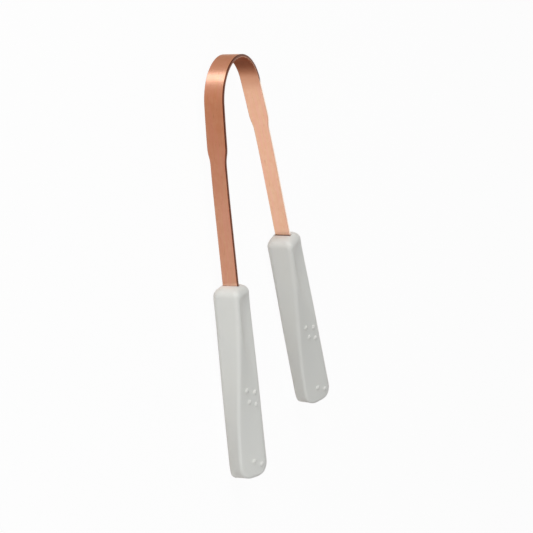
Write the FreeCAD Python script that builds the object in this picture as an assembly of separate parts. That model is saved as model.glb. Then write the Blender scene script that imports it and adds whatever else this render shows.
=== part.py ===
import FreeCAD
import Part

import math
import os

# Tongue scraper: a copper strip bent to a U, with a twisted plastic handle moulded on each end.
# It lies flat: +X across the arms, +Y toward the crown, +Z up. Lengths are in mm, angles in degrees.

# Copper strip
strip_thickness = 1.1
arch_width = 7.5
arm_width = 6.0
arch_radius = 15.7
arch_half_angle = 78.3
splay_angle = 5.95
bow_length = 37.3
shoulder_start = 14.6
shoulder_length = 6.9
arm_length = 65.3
edge_round = 0.2
flex_gap = 0.08

# Tang, the strip's end inside the handle
tang_length = 28.0
tang_corner = 1.2
key_hole_diameter = 3.0
key_hole_inset = 8.0
tang_clearance = 0.05

# Handle: a bar that turns and flattens from its top to its end, set a little to one side of the strip
handle_length = 73.4
handle_set = 0.45
top_width = 10.9
top_depth = 11.0
top_corner = 2.6
top_round = 3.1
end_width = 9.0
end_depth = 12.3
end_corner = 1.6
front_end_round = 5.5
front_edge_round = 1.6
back_end_round = 0.7
back_edge_round = 0.8
end_slant = 2.5
tip_flat_share = 0.02
twist_angle = 32.7
twist_start = 1.9
twist_end_inset = 7.1
round_limit_share = 0.9
corner_limit_share = 0.75
top_step_shares = (0.0, 0.08, 0.29, 0.62)
body_step_shares = (0.0, 0.02, 0.06, 0.14, 0.27, 0.42, 0.58, 0.73, 0.86, 0.94, 0.98, 1.0)
end_step_shares = (0.7, 0.48, 0.28, 0.14, 0.05, 0.0)

# Grip dots on the front face, in rows of two: place along the handle from its top, and across its face
dot_diameter = 1.8
dot_height = 0.45
dot_pitch = 4.7
dot_stagger = 1.8
dot_group_start = 38.2
dot_end_inset = 7.3
dot_across_shares = ((-0.30, 0.37), (-0.11, 0.42), (-0.03, 0.47))

# How far a cutting solid runs past what it cuts
overrun = 2.0

UP = FreeCAD.Vector(0, 0, 1)
CROWN_AXIS = FreeCAD.Vector(0, 1, 0)
bend_end = math.radians(arch_half_angle)
arm_turn = math.radians(90 - splay_angle)
bow_radius = bow_length / (arm_turn - bend_end)
tang_end = arm_length + tang_length
top_rounding = min(top_round, min(top_width, top_depth) / 2 * round_limit_share)
front_rounding = min(front_end_round, end_depth / 2 * round_limit_share)


def on_arc(centre, radius, turn, height=0.0):
    """The point on a bend, turned from the crown's direction."""
    return centre + FreeCAD.Vector(radius * math.sin(turn), radius * math.cos(turn), height)


crown_centre = FreeCAD.Vector(0, -arch_radius, 0)
bow_centre = on_arc(crown_centre, arch_radius - bow_radius, bend_end)
bow_end = on_arc(bow_centre, bow_radius, arm_turn)
arm_down = FreeCAD.Vector(math.cos(arm_turn), -math.sin(arm_turn), 0)
arm_out = FreeCAD.Vector(math.sin(arm_turn), math.cos(arm_turn), 0)


def along_arm(distance):
    """The middle of the strip on the right arm, at a distance from the end of the crown bend."""
    if distance < bow_length:
        return on_arc(bow_centre, bow_radius, bend_end + distance / bow_radius)
    return bow_end + arm_down * (distance - bow_length)


def arc_edge(centre, radius, turn_from, turn_to, height):
    """A bend's edge between two turns."""
    middle = (turn_from + turn_to) / 2
    stops = [on_arc(centre, radius, turn, height) for turn in (turn_from, middle, turn_to)]
    return Part.Arc(*stops).toShape()


def line_edge(start, end):
    """A straight edge."""
    return Part.LineSegment(start, end).toShape()


def rounded_strip(strip):
    """The strip with its long edges broken, as after tumbling; its ends stay square."""
    long_edges = []
    for edge in strip.Edges:
        beside = abs(edge.CenterOfMass.z) > arm_width / 2 - edge_round
        if beside and edge.Length > strip_thickness * 2:
            long_edges.append(edge)
    return strip.makeFillet(edge_round, long_edges).Solids[0]


def make_arch():
    """The scraping arch: the crown bend, at full width."""
    outer = arch_radius + strip_thickness / 2
    inner = arch_radius - strip_thickness / 2
    base = -arch_width / 2
    edges = [
        arc_edge(crown_centre, outer, -bend_end, bend_end, base),
        line_edge(on_arc(crown_centre, outer, bend_end, base), on_arc(crown_centre, inner, bend_end, base)),
        arc_edge(crown_centre, inner, bend_end, -bend_end, base),
        line_edge(on_arc(crown_centre, inner, -bend_end, base), on_arc(crown_centre, outer, -bend_end, base)),
    ]
    return rounded_strip(Part.Face(Part.Wire(edges)).extrude(UP * arch_width))


def arm_side_view():
    """The right arm seen along its width: bow, straight and tang, taller than the strip is wide."""
    base = -arch_width / 2 - overrun
    start = bend_end + flex_gap / bow_radius
    half = strip_thickness / 2
    tip = along_arm(tang_end) + UP * base
    outer_bow = on_arc(bow_centre, bow_radius + half, arm_turn, base)
    inner_bow = on_arc(bow_centre, bow_radius - half, arm_turn, base)
    outer_start = on_arc(bow_centre, bow_radius + half, start, base)
    inner_start = on_arc(bow_centre, bow_radius - half, start, base)
    edges = [
        arc_edge(bow_centre, bow_radius + half, start, arm_turn, base),
        line_edge(outer_bow, tip + arm_out * half),
        line_edge(tip + arm_out * half, tip - arm_out * half),
        line_edge(tip - arm_out * half, inner_bow),
        arc_edge(bow_centre, bow_radius - half, arm_turn, start, base),
        line_edge(inner_start, outer_start),
    ]
    return Part.Face(Part.Wire(edges)).extrude(UP * (arch_width + overrun * 2))


def arm_plan():
    """The blank's outline: full width, shoulders, narrow arm and a tang with clipped corners."""
    wide, narrow = arch_width / 2, arm_width / 2
    top = along_arm(0.0).y + overrun
    shoulder_from = along_arm(shoulder_start).y
    shoulder_to = along_arm(shoulder_start + shoulder_length).y
    shoulder_middle = (shoulder_from + shoulder_to) / 2
    clip = along_arm(tang_end - tang_corner).y
    tip = along_arm(tang_end).y
    below = tip - overrun
    clipped = narrow - tang_corner

    def spot(y, z):
        return FreeCAD.Vector(0, y, z)

    def shoulder(side):
        curve = Part.BezierCurve()
        curve.setPoles([
            spot(shoulder_from, side * wide),
            spot(shoulder_middle, side * wide),
            spot(shoulder_middle, side * narrow),
            spot(shoulder_to, side * narrow),
        ])
        return curve.toShape()

    edges = [line_edge(spot(top, -wide), spot(top, wide))]
    for side in (1, -1):
        run = [
            line_edge(spot(top, side * wide), spot(shoulder_from, side * wide)),
            shoulder(side),
            line_edge(spot(shoulder_to, side * narrow), spot(clip, side * narrow)),
            line_edge(spot(clip, side * narrow), spot(tip, side * clipped)),
            line_edge(spot(tip, side * clipped), spot(below, side * clipped)),
        ]
        edges += run
    edges.append(line_edge(spot(below, -clipped), spot(below, clipped)))
    outline = Part.Wire(Part.__sortEdges__(edges))
    return Part.Face(outline).extrude(FreeCAD.Vector(along_arm(tang_end).x + overrun, 0, 0))


def key_cylinder(diameter, reach):
    """A cylinder through the tang's keying hole."""
    start = along_arm(tang_end - key_hole_inset) - arm_out * reach
    return Part.makeCylinder(diameter / 2, reach * 2, start, arm_out)


def make_arm():
    """The right arm, from the flex line to the end of its tang."""
    strip = rounded_strip(arm_side_view().common(arm_plan()))
    return strip.cut(key_cylinder(key_hole_diameter, strip_thickness + overrun)).Solids[0]


def twist_at(along):
    """How far the handle has turned, easing in below its top and out above its end."""
    share = (along - twist_start) / (handle_length - twist_start - twist_end_inset)
    share = min(max(share, 0.0), 1.0)
    return math.radians(twist_angle) * share * share * (3 - 2 * share)


def on_handle(along, across, proud):
    """A point of the handle: along it from its top, across its front face, and out of that face."""
    turn = twist_at(along)
    sideways = (across - handle_set) * math.cos(turn) - proud * math.sin(turn)
    upward = (across - handle_set) * math.sin(turn) + proud * math.cos(turn)
    return along_arm(arm_length + along) + arm_out * sideways + UP * upward


def handle_size(at_top, at_end, along):
    """A size that changes evenly from the handle's top to its end."""
    return at_top + (at_end - at_top) * along / handle_length


def round_inset(radius, depth):
    """How far a rounded edge lies inside the full size, at a depth below its start."""
    if depth >= radius:
        return 0.0
    return radius - math.sqrt(radius * radius - (radius - depth) ** 2)


def handle_ring(along):
    """The handle's section: a rounded rectangle, with its front drawn in and slanted where the end is rounded."""
    rise = handle_length - along
    top_inset = round_inset(top_rounding, along)
    half_depth = handle_size(top_depth, end_depth, along) / 2 - top_inset
    half_width = handle_size(top_width, end_width, along) / 2 - top_inset
    front_half = half_depth - round_inset(front_rounding, rise + front_rounding * tip_flat_share)
    back_half = half_depth - round_inset(back_end_round, rise)
    front = half_width - round_inset(front_edge_round, rise)
    back = half_width - round_inset(back_edge_round, rise)
    radius = min(front_half, back_half, front, back) * corner_limit_share
    radius = min(radius, handle_size(top_corner, end_corner, along))
    slant = math.tan(math.radians(end_slant)) * max(1 - rise / front_rounding, 0.0)
    corners = [
        FreeCAD.Vector(-back_half, -back, 0),
        FreeCAD.Vector(back_half, -back, 0),
        FreeCAD.Vector(front_half, front, 0),
        FreeCAD.Vector(-front_half, front, 0),
    ]
    roundings = []
    for index, corner in enumerate(corners):
        to_last = (corners[index - 1] - corner).normalize()
        to_next = (corners[(index + 1) % len(corners)] - corner).normalize()
        inward = (to_last + to_next).normalize()
        half_angle = to_last.getAngle(to_next) / 2
        reach = radius / math.tan(half_angle)
        dip = radius / math.sin(half_angle) - radius
        stops = (corner + to_last * reach, corner + inward * dip, corner + to_next * reach)
        roundings.append([on_handle(along - slant * stop.y, stop.x, stop.y) for stop in stops])
    edges = []
    for index, rounding in enumerate(roundings):
        edges.append(line_edge(roundings[index - 1][-1], rounding[0]))
        edges.append(Part.Arc(*rounding).toShape())
    return Part.Wire(edges)


def handle_rings():
    """The handle's sections, from its rounded top over the twisted body to its rounded end."""
    body = handle_length - top_rounding - front_rounding
    places = [top_rounding * share for share in top_step_shares]
    places += [top_rounding + body * share for share in body_step_shares]
    places += [handle_length - front_rounding * share for share in end_step_shares]
    return [handle_ring(along) for along in places]


def tang_pocket():
    """The room for the tang, with the plastic that fills its keying hole left standing."""
    half_thick = strip_thickness / 2 + tang_clearance
    half_wide = arm_width / 2 + tang_clearance
    mouth = along_arm(arm_length - overrun)
    corners = []
    for out_side, up_side in ((1, 1), (-1, 1), (-1, -1), (1, -1), (1, 1)):
        corners.append(mouth + arm_out * (half_thick * out_side) + UP * (half_wide * up_side))
    room = Part.Face(Part.makePolygon(corners)).extrude(arm_down * (overrun + tang_length + tang_clearance))
    return room.cut(key_cylinder(key_hole_diameter - tang_clearance * 2, half_thick + overrun))


def grip_dots():
    """Raised dots on the front face, each a cap of a ball sunk in the face."""
    ball = ((dot_diameter / 2) ** 2 + dot_height ** 2) / (2 * dot_height)
    row_starts = (dot_group_start, dot_group_start + dot_pitch, handle_length - dot_end_inset)
    dots = []
    for row_start, across_shares in zip(row_starts, dot_across_shares):
        for column, across_share in enumerate(across_shares):
            along = row_start + dot_stagger * column
            across = across_share * handle_size(top_depth, end_depth, along) / 2
            centre_depth = handle_size(top_width, end_width, along) / 2 + dot_height - ball
            dots.append(Part.makeSphere(ball, on_handle(along, across, centre_depth)))
    return dots


def make_handle():
    """The right handle."""
    body = Part.makeLoft(handle_rings(), True, False)
    return body.fuse(grip_dots()).cut(tang_pocket()).Solids[0]


def opposite(shape):
    """The same piece on the other arm, half a turn about the scraper's long axis."""
    turned = shape.copy()
    turned.rotate(FreeCAD.Vector(0, 0, 0), CROWN_AXIS, 180)
    return turned


def same_way_up(shape):
    """The same piece on the other arm with its front face still up."""
    moved = shape.copy()
    moved.rotate(bow_end, UP, -2 * splay_angle)
    moved.translate(FreeCAD.Vector(-2 * bow_end.x, 0, 0))
    return moved


right_arm = make_arm()
right_handle = make_handle()
nodes = {
    "scraping_arch": make_arch(),
    "left_arm": opposite(right_arm),
    "right_arm": right_arm,
    "left_handle": same_way_up(right_handle),
    "right_handle": right_handle,
}

box = Part.makeCompound(list(nodes.values())).optimalBoundingBox()
to_origin = FreeCAD.Vector(-box.Center.x, -box.Center.y, -box.ZMin)

os.makedirs("parts", exist_ok=True)
for name, shape in nodes.items():
    shape.translate(to_origin)
    shape.exportStep("parts/" + name + ".step")
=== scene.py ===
import math

import bpy
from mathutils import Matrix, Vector


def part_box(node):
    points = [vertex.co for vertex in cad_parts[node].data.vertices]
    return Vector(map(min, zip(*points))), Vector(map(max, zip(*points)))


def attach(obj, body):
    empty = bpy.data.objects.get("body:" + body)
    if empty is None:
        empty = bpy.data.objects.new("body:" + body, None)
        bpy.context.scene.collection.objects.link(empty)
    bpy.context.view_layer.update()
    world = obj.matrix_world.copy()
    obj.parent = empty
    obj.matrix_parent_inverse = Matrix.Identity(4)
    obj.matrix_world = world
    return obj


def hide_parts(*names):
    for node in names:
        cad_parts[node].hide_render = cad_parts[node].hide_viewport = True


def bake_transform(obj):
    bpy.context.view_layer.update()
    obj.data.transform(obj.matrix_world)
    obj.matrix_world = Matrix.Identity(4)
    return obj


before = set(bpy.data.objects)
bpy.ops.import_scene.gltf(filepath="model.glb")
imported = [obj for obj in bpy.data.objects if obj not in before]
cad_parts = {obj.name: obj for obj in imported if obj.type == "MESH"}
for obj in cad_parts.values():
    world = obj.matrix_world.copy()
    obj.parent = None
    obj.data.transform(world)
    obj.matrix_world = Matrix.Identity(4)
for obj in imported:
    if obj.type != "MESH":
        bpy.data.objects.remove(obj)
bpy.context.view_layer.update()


# Copper strip: one length of half-hard copper sheet, rolled with a fine grain along it and blanked with a
# shoulder in each arm. Its edges are broken by tumbling, then it is bent to a U, and its two tangs end
# inside the handles. On the real scraper it is also the spring, each half bending about the end of the
# crown.
strip_thickness = 0.0011
arch_width = 0.0075
arm_width = 0.0060
arch_radius = 0.0157
arch_half_angle = math.radians(78.3)
splay_angle = math.radians(5.95)
bow_length = 0.0373
shoulder_start = 0.0146
shoulder_length = 0.0069
arm_length = 0.0653
tang_length = 0.028
tang_corner = 0.0012
edge_round = 0.0002
flex_reach = 0.009
arch_steps = 56
upper_arm_steps = 18
shoulder_steps = 16
lower_arm_steps = 48
edge_steps = 5

arch_low, arch_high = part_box("scraping_arch")
crown_x = (arch_low.x + arch_high.x) / 2
crown_y = arch_high.y - strip_thickness / 2
strip_z = (arch_low.z + arch_high.z) / 2
arch_run = arch_radius * arch_half_angle
arm_turn = math.pi / 2 - splay_angle
bow_radius = bow_length / (arm_turn - arch_half_angle)
strip_run = arch_run + arm_length + tang_length


def strip_middle(run):
    """The strip's middle line at a run from the crown: out to the side, its Y, and how far it has turned."""
    arch_turn = min(run, arch_run) / arch_radius
    x = arch_radius * math.sin(arch_turn)
    y = crown_y - arch_radius * (1 - math.cos(arch_turn))
    bow = min(max(run - arch_run, 0.0), bow_length)
    turn = arch_turn + bow / bow_radius
    x += bow_radius * (math.sin(turn) - math.sin(arch_turn))
    y += bow_radius * (math.cos(turn) - math.cos(arch_turn))
    straight = max(run - arch_run - bow_length, 0.0)
    return x + straight * math.cos(turn), y - straight * math.sin(turn), turn


def even_steps(start, end, count):
    """Places from start up to end, without end itself."""
    return [start + (end - start) * step / count for step in range(count)]


def gently(share):
    """A share from 0 to 1 that starts and ends gently."""
    return share * share * (3 - 2 * share)


def strip_stations():
    """Runs from the crown with the strip's half width there: arch, shoulder, arm and clipped tang."""
    shoulder = arch_run + shoulder_start
    shoulder_end = shoulder + shoulder_length
    clip = strip_run - tang_corner
    wide, narrow = arch_width / 2, arm_width / 2
    stations = [(run, wide) for run in even_steps(0.0, arch_run, arch_steps)]
    stations += [(run, wide) for run in even_steps(arch_run, shoulder, upper_arm_steps)]
    for share in even_steps(0.0, 1.0, shoulder_steps):
        # The shoulder is an S, a cubic curve whose handles reach half way along it.
        along = share * (1.5 - 1.5 * share + share * share)
        stations.append((shoulder + shoulder_length * along, wide + (narrow - wide) * gently(share)))
    stations += [(run, narrow) for run in even_steps(shoulder_end, clip, lower_arm_steps)]
    return stations + [(clip, narrow), (strip_run, narrow - tang_corner)]


def strip_section():
    """Corners of the section: which way out and up each point lies, and its direction round the edge."""
    section = []
    for quarter, (out_side, up_side) in enumerate(((1, -1), (1, 1), (-1, 1), (-1, -1))):
        for step in range(edge_steps + 1):
            angle = math.pi / 2 * (quarter - 1 + step / edge_steps)
            section.append((out_side, up_side, math.cos(angle), math.sin(angle)))
    return section


def tube_faces(rings, around):
    """Faces of a closed tube: bands between one ring of points and the next, and a cap at either end."""
    faces = []
    for ring in range(rings - 1):
        for corner in range(around):
            here = ring * around + corner
            there = ring * around + (corner + 1) % around
            faces.append((here, there, there + around, here + around))
    last_ring = (rings - 1) * around
    faces.append(tuple(reversed(range(around))))
    faces.append(tuple(range(last_ring, last_ring + around)))
    return faces


def new_piece(name, points, faces, place_name, places):
    """A smooth piece that keeps, for its material, where on the real one each of its points lies."""
    mesh = bpy.data.meshes.new(name)
    mesh.from_pydata(points, [], faces)
    mesh.attributes.new(place_name, "FLOAT_VECTOR", "POINT")
    place_values = [value for place in places for value in place]
    mesh.attributes[place_name].data.foreach_set("vector", place_values)
    mesh.shade_smooth()
    piece = bpy.data.objects.new(name, mesh)
    bpy.context.scene.collection.objects.link(piece)
    return piece


def strip_half(name, side):
    """Half of the strip, from the crown to the end of one tang, with flat faces and softly shaded edges."""
    stations, section = strip_stations(), strip_section()
    points, normals, places = [], [], []
    for index, (run, half_width) in enumerate(stations):
        x, y, turn = strip_middle(run)
        outward = Vector((math.sin(turn), math.cos(turn), 0))
        onward = Vector((math.cos(turn), -math.sin(turn), 0))
        before = stations[max(index - 1, 0)]
        after = stations[min(index + 1, len(stations) - 1)]
        taper = (after[1] - before[1]) / (after[0] - before[0])
        for out_side, up_side, out_part, up_part in section:
            out = out_side * (strip_thickness / 2 - edge_round) + edge_round * out_part
            up = up_side * (half_width - edge_round) + edge_round * up_part
            point = Vector((x, y, strip_z)) + outward * out + Vector((0, 0, up))
            normal = outward * out_part + Vector((0, 0, up_part)) - onward * taper * abs(up_part)
            points.append((crown_x + point.x * side, point.y, point.z))
            normals.append(Vector((normal.x * side, normal.y, normal.z)).normalized())
            places.append((run, up / half_width, out / strip_thickness * 2))
    faces = tube_faces(len(stations), len(section))
    if side < 0:
        faces = [tuple(reversed(face)) for face in faces]
    piece = new_piece(name, points, faces, "strip_place", places)
    corner_normals = []
    for polygon in piece.data.polygons:
        is_cap = len(polygon.vertices) == len(section)
        for vertex in polygon.vertices:
            corner_normals.append(polygon.normal.copy() if is_cap else normals[vertex])
    piece.data.normals_split_custom_set(corner_normals)
    return piece


class Wire:
    """A shader socket. Sums, differences and products with numbers or other wires add Math nodes."""

    def __init__(self, tree, socket=None):
        self.tree = tree
        self.socket = socket

    def node(self, kind, settings, values, output=0):
        """A new node of that kind: its settings first, then the numbers or wires of its sockets."""
        made = self.tree.nodes.new(kind)
        for setting, value in settings.items():
            if setting == "stops":
                self.set_stops(made.color_ramp.elements, value)
            else:
                setattr(made, setting, value)
        self.feed(made, values)
        return Wire(self.tree, made.outputs[output])

    def set_stops(self, elements, stops):
        """The places and colours of a ramp's stops, in rising order."""
        while len(elements) < len(stops):
            elements.new(1.0)
        for element, (place, _) in zip(elements, stops):
            element.position = place
        for element, (_, colour) in zip(elements, stops):
            element.color = colour

    def feed(self, fed, values):
        """Numbers and colours set on a node's own sockets, and wires linked to them."""
        for name, value in values.items():
            if isinstance(value, Wire):
                self.tree.links.new(value.socket, fed.inputs[name])
            else:
                fed.inputs[name].default_value = value

    def maths(self, operation, first, second=0.0):
        return self.node("ShaderNodeMath", {"operation": operation}, {0: first, 1: second})

    def __add__(self, other):
        return self.maths("ADD", self, other)

    def __radd__(self, other):
        return self.maths("ADD", other, self)

    def __sub__(self, other):
        return self.maths("SUBTRACT", self, other)

    def __rsub__(self, other):
        return self.maths("SUBTRACT", other, self)

    def __mul__(self, other):
        return self.maths("MULTIPLY", self, other)

    def __rmul__(self, other):
        return self.maths("MULTIPLY", other, self)

    def __neg__(self):
        return self.maths("MULTIPLY", self, -1.0)

    def axis(self, name):
        """One axis of a place."""
        return self.node("ShaderNodeSeparateXYZ", {}, {0: self}, name)

    def noise(self, fineness, detail):
        """Cloudy noise over a place, with its own fineness along each axis."""
        spread = self.node("ShaderNodeVectorMath", {"operation": "MULTIPLY"}, {0: self, 1: fineness})
        return self.node("ShaderNodeTexNoise", {}, {"Vector": spread, "Scale": 1.0, "Detail": detail})

    def rise(self, low, high, change="SMOOTHSTEP"):
        """0 up to the low value and 1 from the high one on, with a soft change between them."""
        values = {"Value": self, "From Min": low, "From Max": high}
        return self.node("ShaderNodeMapRange", {"interpolation_type": change}, values)

    def straight_rise(self, low, high):
        """0 up to the low value and 1 from the high one on, with an even change between them."""
        return self.rise(low, high, "LINEAR")

    def between(self, under, over):
        """The colour under where this wire is 0, and the colour over where it is 1."""
        # A Mix node's colours are its inputs 6 and 7 and its output 2.
        return self.node("ShaderNodeMix", {"data_type": "RGBA"}, {"Factor": self, 6: under, 7: over}, 2)


def new_finish(name):
    """A fresh material, the start of its wires and its surface shader."""
    material = bpy.data.materials.new(name)
    material.use_nodes = True
    surface = material.node_tree.nodes["Principled BSDF"]
    return material, Wire(material.node_tree), surface


# Tones of the copper: the brushed metal, its rosy streaks and scuffs, a painted shade inside the crown,
# painted shade on the edges and at the mouth line, and a painted highlight on the right arm's edges.
copper_light = (0.980, 0.705, 0.535, 1.0)
copper_deep = (0.930, 0.620, 0.445, 1.0)
copper_rose = (0.985, 0.635, 0.535, 1.0)
copper_scuff = (0.640, 0.370, 0.250, 1.0)
painted_crown_shade = (0.770, 0.470, 0.335, 1.0)
painted_shade_brown = (0.150, 0.050, 0.026, 1.0)
painted_edge_highlight = (1.000, 0.930, 0.860, 1.0)
# Fineness of each pattern along the strip, across it and through it, and where on the noise it shows.
grain_fineness = (90.0, 14.0, 3.0)
grain_detail = 4.0
grain_share = 0.45
mottle_fineness = (420.0, 1.6, 1.0)
mottle_detail = 3.0
tone_range = (0.35, 0.65)
streak_fineness = (55.0, 3.2, 1.0)
streak_range = (0.42, 0.62)
streak_strength = 0.55
scuff_fineness = (330.0, 4.0, 1.0)
scuff_range = (0.60, 0.80)
scuff_strength = 0.40
mark_detail = 2.0
# Runs from the crown over which the painted shade inside the crown fades out and the edges' painted shade
# changes to the arm's own painted edge tone, and the mouth line, a painted shadow where the strip enters the
# handle.
crown_shade_fade = (0.0215, 0.0275)
painted_edge_change = (0.0210, 0.0240)
mouth_line = 0.0004
mouth_inset = 0.0001
mouth_run = arch_run + arm_length - mouth_inset
# Shares of the half width, up or down, and of the half thickness, inward.
upper_edge_range = (0.885, 0.930)
lower_edge_range = (0.965, 0.995)
inner_face_range = (0.50, 0.90)
inner_rim_range = (0.55, 0.75)
copper_roughness = 0.42
grain_roughness = 0.10
edge_polish = 0.20
copper_brushing = 0.85
across_grain_turn = 0.25
grain_relief = 0.12
relief_depth = 0.00005
noise_middle = 0.5


def brushed_copper(name, painted_arm_edge):
    """Satin copper with fine lines, streaks and scuffs, painted shade inside the crown, painted shade on the
    edges near the crown, the arm's painted edge tone further on, and a painted shadow at the mouth.
    """
    material, start, surface = new_finish(name)
    place = start.node("ShaderNodeAttribute", {"attribute_name": "strip_place"}, {}, "Vector")
    run = place.axis("X")
    across = place.axis("Y")
    inward = -place.axis("Z")
    grain = place.noise(grain_fineness, grain_detail)
    mottle = place.noise(mottle_fineness, mottle_detail)
    tone = (grain * grain_share + mottle * (1 - grain_share)).rise(*tone_range)
    streaks = place.noise(streak_fineness, mark_detail).rise(*streak_range) * streak_strength
    scuffs = place.noise(scuff_fineness, mark_detail).rise(*scuff_range) * scuff_strength
    inside = inward.straight_rise(*inner_face_range)
    near_crown = 1 - run.rise(*crown_shade_fade)
    at_mouth = run.straight_rise(mouth_run - mouth_line, mouth_run)
    upper_edge = across.rise(*upper_edge_range)
    lower_edge = (-across).rise(*lower_edge_range)
    edge = start.maths("MAXIMUM", upper_edge, lower_edge) * (1 - inward.straight_rise(*inner_rim_range))
    painted_edge_tone = run.rise(*painted_edge_change).between(painted_shade_brown, painted_arm_edge)
    colour = tone.between(copper_deep, copper_light)
    colour = streaks.between(colour, copper_rose)
    colour = scuffs.between(colour, copper_scuff)
    # Painted shade inside the crown: darker copper standing in for the dark reflections there.
    colour = (inside * near_crown).between(colour, painted_crown_shade)
    # Painted shade on the edges near the crown, then the arm's painted edge tone.
    colour = edge.between(colour, painted_edge_tone)
    # Painted shadow: a thin dark line on the inner face where the strip enters the handle.
    colour = (inside * at_mouth).between(colour, painted_shade_brown)
    lines = {"Height": grain, "Strength": grain_relief, "Distance": relief_depth}
    start.feed(surface, {
        "Base Color": colour,
        "Metallic": 1.0,
        "Roughness": copper_roughness + (grain - noise_middle) * grain_roughness - edge * edge_polish,
        "Anisotropic": copper_brushing,
        "Anisotropic Rotation": across_grain_turn,
        "Normal": start.node("ShaderNodeBump", {}, lines),
    })
    return material


flex_x, flex_y, _ = strip_middle(arch_run)
# The left arm's edges get painted shade and the right arm's edges a painted highlight.
for name, side, arm, painted_arm_edge in (
    ("strip_left_half", -1, "left", painted_shade_brown),
    ("strip_right_half", 1, "right", painted_edge_highlight),
):
    strip = strip_half(name, side)
    strip.data.materials.append(brushed_copper(arm + "_brushed_copper", painted_arm_edge))
    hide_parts(arm + "_arm")
    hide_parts("scraping_arch")
    crown_x + flex_x * side
    flex_y + flex_reach
    crown_x + flex_x * side
    flex_y - flex_reach
    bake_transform(strip)


# Handles: one white plastic moulding used twice, injected round each tang. A rounded bar turns and flattens
# toward a tongue-shaped end; its front has a shallow scoop for the thumb and six raised dots. The skin is a
# fine satin, and a thin dark line of painted shadow lies round the strip where it enters the plastic.
handle_length = 0.0734
handle_set = 0.00045
top_width, end_width = 0.0109, 0.0090
top_depth, end_depth = 0.0110, 0.0123
back_corners = (0.0026, 0.0016)
far_corner = (0.0026, 0.0021)
ridge_corner = (0.0020, 0.0010)
corner_share = 0.75
top_round = 0.0031
front_end_round = 0.0058
front_edge_round = 0.0016
back_end_round = 0.0014
back_edge_round = 0.0010
end_slant = math.radians(5.5)
twist_angle = math.radians(32.7)
twist_start = 0.0019
twist_end_inset = 0.0071
scoop_start = 0.0035
scoop_end = 0.0360
scoop_depth = 0.0012
scoop_sweep = 1.60
scoop_curl = 2.2
scoop_skew = 0.50
scoop_softness = 1.15
scoop_side_margin = 0.5
scoop_front_margin = 0.3
dot_diameter = 0.0020
dot_height = 0.0005
dot_rows = ((0.0385, -0.27, 0.39), (0.0432, -0.08, 0.45), (0.0664, 0.00, 0.50))
dot_stagger = 0.0018
dot_angle = 1.15
dot_rings = 7
dot_spokes = 20
top_steps = 10
bar_steps = 70
end_steps = 18
corner_steps = 6
side_steps = 14


def eased(at_top, at_end, along):
    """A size that changes evenly from the handle's top to its end."""
    return at_top + (at_end - at_top) * along / handle_length


def rounded_in(radius, depth):
    """How far a rounded edge lies inside the full size, at a depth below its start."""
    return radius - math.sqrt(max(radius * radius - max(radius - depth, 0.0) ** 2, 0.0))


def scoop(along, across_share):
    """Depth of the thumb scoop, greatest near its top. Its inner edge leaves the ridge on the way down."""
    share = (along - scoop_start) / (scoop_end - scoop_start)
    if not 0 < share < 1:
        return 0.0
    inner_edge = scoop_sweep * share ** scoop_curl - 1
    half_span = (1 - inner_edge) / 2
    from_middle = (across_share - inner_edge) / half_span - 1
    if abs(from_middle) > 1:
        return 0.0
    hollow = (1 - from_middle ** 2) ** scoop_softness
    return scoop_depth * math.sin(math.pi * share ** scoop_skew) * hollow


def rounded_corner(before, corner, after, radius):
    """Points of the arc that rounds a section's corner, which lies between two others."""
    arriving = (corner - before).normalized()
    leaving = (after - corner).normalized()
    turn = math.acos(max(-1.0, min(1.0, arriving.dot(leaving))))
    middle = corner + (leaving - arriving).normalized() * (radius / math.cos(turn / 2))
    first = math.atan2(-arriving.x, arriving.y)
    angles = [first + turn * step / corner_steps for step in range(corner_steps + 1)]
    return [middle + radius * Vector((math.cos(angle), math.sin(angle))) for angle in angles]


def handle_outline(along):
    """One section of the bar, as places along it, across its front and proud of its middle."""
    rise = handle_length - along
    top_inset = rounded_in(top_round, along)
    half_depth = eased(top_depth, end_depth, along) / 2 - top_inset
    half_width = eased(top_width, end_width, along) / 2 - top_inset
    front_half = half_depth - rounded_in(front_end_round, rise)
    back_half = half_depth - rounded_in(back_end_round, rise)
    front = half_width - rounded_in(front_edge_round, rise)
    back = half_width - rounded_in(back_edge_round, rise)
    largest_round = min(front_half, back_half, front, back) * corner_share
    slant = math.tan(end_slant) * max(1 - rise / front_end_round, 0.0)
    corners = (
        (Vector((-back_half, -back)), back_corners),
        (Vector((back_half, -back)), back_corners),
        (Vector((front_half, front)), far_corner),
        (Vector((-front_half, front)), ridge_corner),
    )
    arcs = []
    for index, (corner, sizes) in enumerate(corners):
        before = corners[index - 1][0]
        after = corners[(index + 1) % len(corners)][0]
        radius = min(largest_round, eased(*sizes, along))
        arcs.append(rounded_corner(before, corner, after, radius))
    outline = []
    for index, arc in enumerate(arcs):
        following = arcs[(index + 1) % len(arcs)][0]
        outline += arc + [arc[-1].lerp(following, step / side_steps) for step in range(1, side_steps)]
    ridge_radius = min(largest_round, eased(*ridge_corner, along))
    scoop_half = front_half - ridge_radius * scoop_side_margin
    front_start = front - ridge_radius * scoop_front_margin
    spots = []
    for spot in outline:
        dip = scoop(along, spot.x / scoop_half) if spot.y > front_start else 0.0
        spots.append((along - slant * spot.y, spot.x, spot.y - dip))
    return spots


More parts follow.
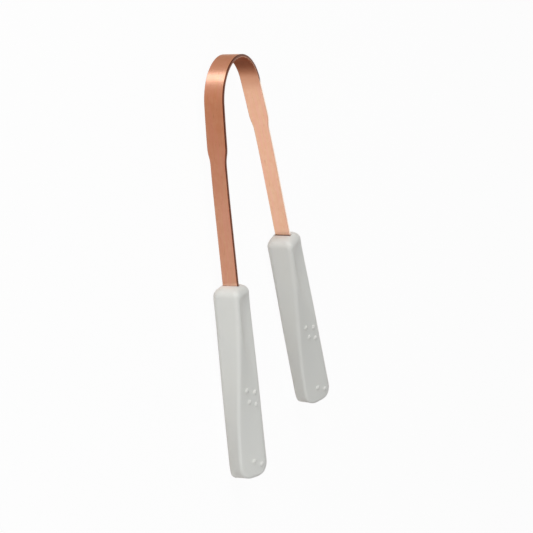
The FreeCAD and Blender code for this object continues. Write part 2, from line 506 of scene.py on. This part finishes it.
def grip_dot(along, across, base):
    """Places and faces of one dot, a closed cap of a ball sunk in the front. Its points count from base."""
    ball = ((dot_diameter / 2) ** 2 + dot_height ** 2) / (2 * dot_height)
    seat = eased(top_width, end_width, along) / 2 + dot_height - ball
    places = [(along, across, seat + ball)]
    for ring in range(1, dot_rings + 1):
        slope = dot_angle * ring / dot_rings
        reach, lift = ball * math.sin(slope), ball * math.cos(slope)
        for heading in even_steps(0.0, math.tau, dot_spokes):
            upward, sideways = reach * math.sin(heading), reach * math.cos(heading)
            places.append((along - upward, across + sideways, seat + lift))
    faces = []
    for spoke in range(dot_spokes):
        next_spoke = (spoke + 1) % dot_spokes
        faces.append((base, base + 1 + spoke, base + 1 + next_spoke))
        for ring in range(dot_rings - 1):
            ring_start = base + 1 + ring * dot_spokes
            here, there = ring_start + spoke, ring_start + next_spoke
            faces.append((here, here + dot_spokes, there + dot_spokes, there))
    end = base + len(places)
    faces.append(tuple(reversed(range(end - dot_spokes, end))))
    return places, faces


def handle_piece(name, side):
    """One handle: the turned bar, closed at both ends, with a dome for each dot."""
    top_x, top_y, arm_direction = strip_middle(arch_run + arm_length)
    top = Vector((crown_x + side * top_x, top_y, strip_z))
    down = Vector((side * math.cos(arm_direction), -math.sin(arm_direction), 0))
    beside = Vector((math.sin(arm_direction), side * math.cos(arm_direction), 0))

    def on_handle(along, across, proud):
        share = (along - twist_start) / (handle_length - twist_start - twist_end_inset)
        turn = twist_angle * gently(min(max(share, 0.0), 1.0))
        sideways = (across - handle_set) * math.cos(turn) - proud * math.sin(turn)
        upward = (across - handle_set) * math.sin(turn) + proud * math.cos(turn)
        return top + down * along + beside * sideways + Vector((0, 0, upward))

    end_start = handle_length - front_end_round
    quarter = math.pi / 2
    stations = [top_round * (1 - math.cos(angle)) for angle in even_steps(0.0, quarter, top_steps)]
    stations += even_steps(top_round, end_start, bar_steps)
    end_angles = even_steps(0.0, quarter, end_steps) + [quarter]
    stations += [end_start + front_end_round * math.sin(angle) for angle in end_angles]
    places = []
    for along in stations:
        places += handle_outline(along)
    faces = tube_faces(len(stations), len(places) // len(stations))
    for row_start, *across_shares in dot_rows:
        for column, across_share in enumerate(across_shares):
            along = row_start + dot_stagger * column
            across = across_share * eased(top_depth, end_depth, along) / 2
            dot_places, dot_faces = grip_dot(along, across, len(places))
            places += dot_places
            faces += dot_faces
    points = [on_handle(*place) for place in places]
    return new_piece(name, points, faces, "handle_place", places)


# Tones and skin of the plastic, and the painted shadow at its mouth.
plastic_white = (0.775, 0.788, 0.750, 1.0)
plastic_shade = (0.748, 0.764, 0.742, 1.0)
mouth_shade = (0.180, 0.085, 0.055, 1.0)
cloud_fineness = (90.0, 90.0, 90.0)
skin_fineness = (3000.0, 3000.0, 3000.0)
plastic_detail = 2.0
plastic_roughness = 0.40
skin_roughness = 0.12
skin_relief = 0.08


def satin_plastic():
    """White moulded plastic with a fine satin skin, slightly uneven tone and a dark line of painted shadow
    round the strip.
    """
    material, start, surface = new_finish("satin_white_plastic")
    place = start.node("ShaderNodeAttribute", {"attribute_name": "handle_place"}, {}, "Vector")
    cloud = place.noise(cloud_fineness, plastic_detail)
    skin = place.noise(skin_fineness, plastic_detail)
    beside_strip = start.maths("ABSOLUTE", place.axis("Y") - handle_set) - strip_thickness / 2
    above_strip = start.maths("ABSOLUTE", place.axis("Z")) - arm_width / 2
    from_strip = start.maths("MAXIMUM", beside_strip, above_strip)
    from_mouth = start.maths("MAXIMUM", from_strip, place.axis("X") - mouth_line)
    at_mouth = from_mouth.straight_rise(mouth_line, 0.0)
    pores = {"Height": skin, "Strength": skin_relief, "Distance": relief_depth}
    start.feed(surface, {
        # Painted shadow: a thin dark line round the strip at the handle's mouth.
        "Base Color": at_mouth.between(cloud.between(plastic_shade, plastic_white), mouth_shade),
        "Roughness": plastic_roughness + (skin - noise_middle) * skin_roughness,
        "Normal": start.node("ShaderNodeBump", {}, pores),
    })
    return material


plastic = satin_plastic()
for name, side, arm in (("left_grip", -1, "left"), ("right_grip", 1, "right")):
    handle = handle_piece(name, side)
    handle.data.materials.append(plastic)
    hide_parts(arm + "_handle")
    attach(handle, arm + "_side")


# Floor: a matt white table top that the scraper lies on, too wide for its ends to show. The camera sees it
# almost evenly white with a soft shadow, and reflections pass through it to the ring of cards.
floor_half = 3.0
floor_white = (0.95, 0.95, 0.95, 1.0)
floor_glow = 0.95
floor_roughness = 0.9
glow_white = (1.0, 1.0, 1.0, 1.0)


def pale_floor():
    """A white table top: its own colour to the camera, with the shadow laid over it."""
    material, start, surface = new_finish("pale_floor")
    seen = start.node("ShaderNodeLightPath", {}, {}, "Is Camera Ray")
    mirrored = start.node("ShaderNodeLightPath", {}, {}, "Is Glossy Ray")
    start.feed(surface, {
        "Base Color": floor_white,
        "Roughness": floor_roughness,
        "Specular IOR Level": 0.0,
    })
    lit = Wire(start.tree, surface.outputs["BSDF"])
    glow = start.node("ShaderNodeEmission", {}, {"Color": glow_white, "Strength": 1.0})
    table = start.node("ShaderNodeMixShader", {}, {0: seen * floor_glow, 1: lit, 2: glow})
    opening = start.node("ShaderNodeBsdfTransparent", {}, {})
    whole = start.node("ShaderNodeMixShader", {}, {0: mirrored, 1: table, 2: opening})
    start.feed(start.tree.nodes["Material Output"], {"Surface": whole})
    return material


floor_mesh = bpy.data.meshes.new("floor")
floor_corners = [(x * floor_half, y * floor_half, 0.0) for x, y in ((-1, -1), (1, -1), (1, 1), (-1, 1))]
floor_mesh.from_pydata(floor_corners, [], [(0, 1, 2, 3)])
floor_mesh.materials.append(pale_floor())
floor = bpy.data.objects.new("floor", floor_mesh)
bpy.context.scene.collection.objects.link(floor)


# Sky and cards: the studio's white walls, which light everything evenly, and a ring of pale and brown cards
# round the table that only shiny surfaces mirror. Their bearings are in degrees, counted to the left from
# straight beyond the crown.
sky_strength = 0.31
cards = (
    (-165.0, (0.20, 0.10, 0.07, 1.0)),
    (-136.0, (0.24, 0.14, 0.11, 1.0)),
    (-124.0, (1.00, 0.93, 0.88, 1.0)),
    (-90.0, (1.00, 0.93, 0.88, 1.0)),
    (-80.0, (0.46, 0.32, 0.25, 1.0)),
    (-60.0, (0.48, 0.30, 0.22, 1.0)),
    (0.0, (0.62, 0.40, 0.30, 1.0)),
    (40.0, (0.60, 0.36, 0.26, 1.0)),
    (78.0, (0.56, 0.32, 0.22, 1.0)),
    (96.0, (0.40, 0.18, 0.10, 1.0)),
    (106.0, (0.28, 0.10, 0.05, 1.0)),
    (114.0, (1.00, 0.86, 0.77, 1.0)),
    (138.0, (1.00, 0.86, 0.77, 1.0)),
    (148.0, (0.62, 0.41, 0.31, 1.0)),
    (157.0, (0.44, 0.27, 0.20, 1.0)),
    (168.0, (0.27, 0.15, 0.11, 1.0)),
)
full_turn = 360.0
ring_middle = 0.5

sky = bpy.data.worlds.new("sky")
sky.use_nodes = True
sky_start = Wire(sky.node_tree)
sky_seen = sky_start.node("ShaderNodeLightPath", {}, {}, "Is Camera Ray")
sky_mirrored = sky_start.node("ShaderNodeLightPath", {}, {}, "Is Glossy Ray")
toward = sky_start.node("ShaderNodeTexCoord", {}, {}, "Generated")
turned = sky_start.maths("ARCTAN2", -toward.axis("X"), toward.axis("Y")) * (1 / math.tau) + ring_middle
ring_stops = [(bearing / full_turn + ring_middle, colour) for bearing, colour in cards]
ring = sky_start.node("ShaderNodeValToRGB", {"stops": ring_stops}, {"Fac": turned})
sky_level = sky_strength + sky_seen * (1 - sky_strength)
plain_sky = sky_start.node("ShaderNodeCombineColor", {}, {0: sky_level, 1: sky_level, 2: sky_level})
sky_start.feed(sky.node_tree.nodes["Background"], {"Color": sky_mirrored.between(plain_sky, ring)})
bpy.context.scene.world = sky


# Softboxes: a tall key light and a smaller one beside it beyond the crown, a fill and a small edge light on
# the left, and a weak low one on the right. Each has a bearing and a lift in degrees, a width, a height, a
# power, and whether shiny surfaces mirror it.
softbox_distance = 0.8
softboxes = (
    ("key_softbox", 14.5, 20.0, 0.33, 1.15, 2.95, True),
    ("fill_softbox", 116.0, 19.0, 0.40, 0.40, 1.1, False),
    ("rear_softbox", -112.0, 5.0, 0.50, 0.20, 0.4, False),
    ("edge_softbox", 100.0, 34.0, 0.20, 0.20, 0.65, True),
    ("back_softbox", 5.0, 14.0, 0.40, 0.40, 1.7, False),
)

for name, bearing, lift, width, height, power, mirrored in softboxes:
    lamp = bpy.data.lights.new(name, "AREA")
    lamp.shape = "RECTANGLE"
    lamp.size, lamp.size_y = width, height
    lamp.energy = power
    around, above = math.radians(bearing), math.radians(lift)
    level = Vector((-math.sin(around), math.cos(around), 0))
    toward_lamp = level * math.cos(above) + Vector((0, 0, math.sin(above)))
    softbox = bpy.data.objects.new(name, lamp)
    softbox.visible_glossy = mirrored
    softbox.location = toward_lamp * softbox_distance
    softbox.rotation_euler = toward_lamp.to_track_quat("Z", "Y").to_euler()
    bpy.context.scene.collection.objects.link(softbox)


# Camera: a long lens about 0.67 m from the crown, to the left of the scraper and above it. It is rolled so
# that the crown is at the top of the picture. Its turns are in degrees.
camera_from_crown = Vector((-0.578297, 0.176120, 0.293772))
camera_turn = (-4.4398, -65.2431, -18.9975)
camera_sensor = 36.0
camera_lens = 127.918

camera_data = bpy.data.cameras.new("camera")
camera_data.sensor_width = camera_sensor
camera_data.lens = camera_lens
camera = bpy.data.objects.new("camera", camera_data)
camera.location = Vector((crown_x, crown_y, strip_z)) + camera_from_crown
camera.rotation_euler = [math.radians(angle) for angle in camera_turn]
bpy.context.scene.collection.objects.link(camera)
bpy.context.scene.camera = camera
bpy.context.scene.view_settings.view_transform = "Standard"
